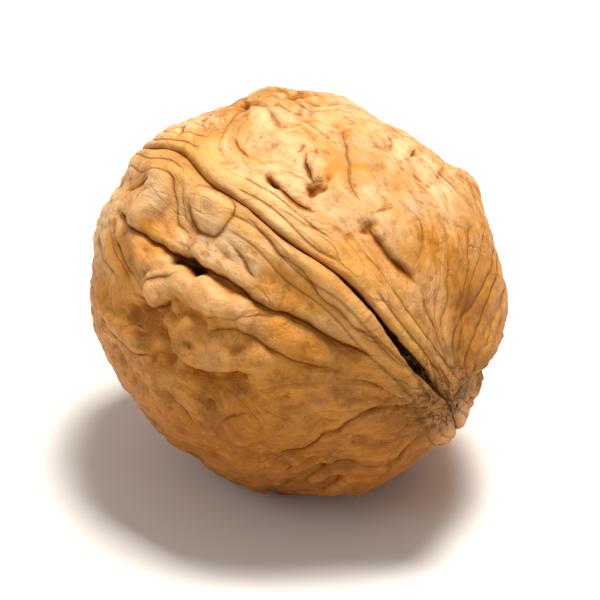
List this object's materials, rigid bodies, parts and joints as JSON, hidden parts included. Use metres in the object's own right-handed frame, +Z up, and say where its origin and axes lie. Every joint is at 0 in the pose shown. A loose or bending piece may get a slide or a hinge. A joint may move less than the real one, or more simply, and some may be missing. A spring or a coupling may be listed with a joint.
{
  "type": "walnut",
  "caption": "Whole walnut in its furrowed shell, with a raised seam and a pointed tip, lying on its side on a small flat spot.",
  "frame": {"origin": "centre of the bounding box in X and Y, at the flat spot that the nut rests on", "axes": "+X along the nut towards its pointed tip, +Z up from the surface it rests on"},
  "size_m": [0.0423, 0.0358, 0.0346],
  "materials": {
    "shell": "dry satin shell, tan with dark brown furrows"
  },
  "bodies": {
    "root": {"walnut": "shell"}
  },
  "joints": []
}
